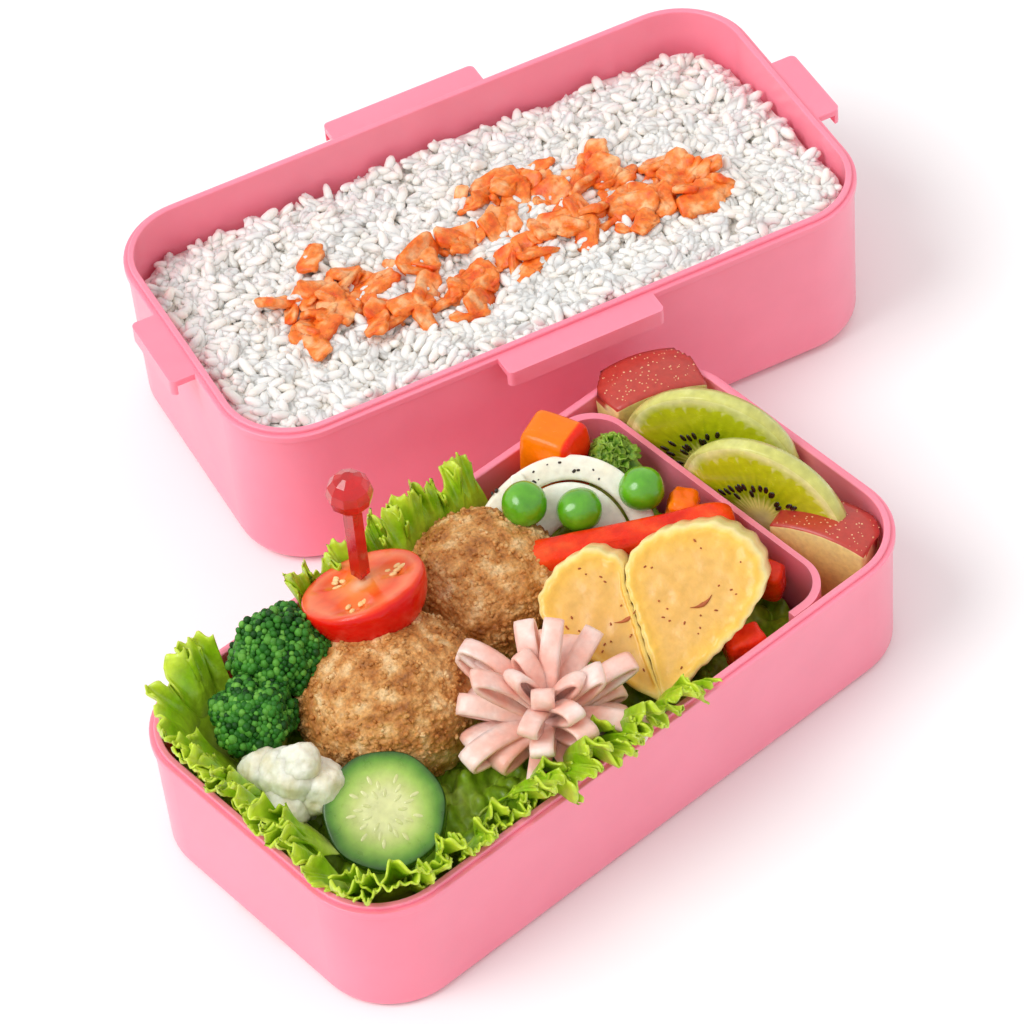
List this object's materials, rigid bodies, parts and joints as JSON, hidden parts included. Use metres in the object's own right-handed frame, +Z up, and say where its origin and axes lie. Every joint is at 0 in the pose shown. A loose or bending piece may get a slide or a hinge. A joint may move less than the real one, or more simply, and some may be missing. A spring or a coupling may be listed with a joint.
{
  "type": "bento lunch box",
  "caption": "Pink two-tier lunch box standing open and filled: a shallow tier with a loose divider, and a deep tier with lid catches beside it.",
  "frame": {"origin": "middle of the lower tier's foot, on the surface that both tiers stand on", "axes": "+X along the lower tier's length towards its fruit compartment, +Y towards the upper tier, +Z up"},
  "size_m": [0.2606, 0.2095, 0.0829],
  "materials": {
    "pink_plastic": "semi-gloss moulded polypropylene",
    "red_clear": "clear red moulded plastic",
    "rice": "cooked rice",
    "salmon": "flaked cooked fish",
    "leaf": "fresh leaf",
    "green_floret": "blanched florets",
    "white_vegetable": "pale cooked vegetable",
    "crumb": "fried crumb crust",
    "egg": "cooked egg",
    "ham": "thin pressed ham",
    "red_vegetable": "glossy red skin and flesh",
    "orange_vegetable": "glossy orange flesh",
    "green_vegetable": "glossy green skin",
    "kiwi": "wet fruit flesh",
    "apple": "fruit with skin"
  },
  "bodies": {
    "lower_tier": {"lower_tier": "pink_plastic"},
    "divider": {"divider": "pink_plastic"},
    "side_dishes": {"croquette_front": "crumb", "croquette_back": "crumb", "egg_roll_left": "egg", "egg_roll_right": "egg", "cucumber_slice": "green_vegetable", "tomato_half": "red_vegetable", "ham_flower": "ham", "pepper_strip": "red_vegetable", "cauliflower": "white_vegetable", "broccoli_front": "green_floret", "broccoli_back": "green_floret", "onion_outer": "white_vegetable", "onion_inner": "white_vegetable", "peas": "green_vegetable", "pepper_chunk": "orange_vegetable", "carrot_piece": "orange_vegetable", "pepper_pieces": "red_vegetable", "parsley": "leaf", "lettuce_left": "leaf", "lettuce_front": "leaf", "lettuce_back": "leaf", "lettuce_bed": "leaf"},
    "food_pick": {"food_pick": "red_clear"},
    "fruit": {"kiwi_front": "kiwi", "kiwi_back": "kiwi", "apple_front": "apple", "apple_back": "apple"},
    "upper_tier": {"upper_tier": "pink_plastic"},
    "rice": {"rice": "rice", "salmon_flakes": "salmon"}
  },
  "joints": [
    {"name": "divider_lift", "type": "slide", "parent": "lower_tier", "child": "divider", "axis": [0, 0, 1], "range_m": [0, 0.045]},
    {"name": "side_dishes_lift", "type": "slide", "parent": "lower_tier", "child": "side_dishes", "axis": [0, 0, 1], "range_m": [0, 0.06]},
    {"name": "food_pick_lift", "type": "slide", "parent": "side_dishes", "child": "food_pick", "axis": [0, 0, 1], "range_m": [0, 0.03]},
    {"name": "fruit_lift", "type": "slide", "parent": "lower_tier", "child": "fruit", "axis": [0, 0, 1], "range_m": [0, 0.06]},
    {"name": "upper_tier_lift", "type": "slide", "parent": "lower_tier", "child": "upper_tier", "axis": [0, 0, 1], "range_m": [0, 0.08]},
    {"name": "rice_lift", "type": "slide", "parent": "upper_tier", "child": "rice", "axis": [0, 0, 1], "range_m": [0, 0.05]}
  ]
}
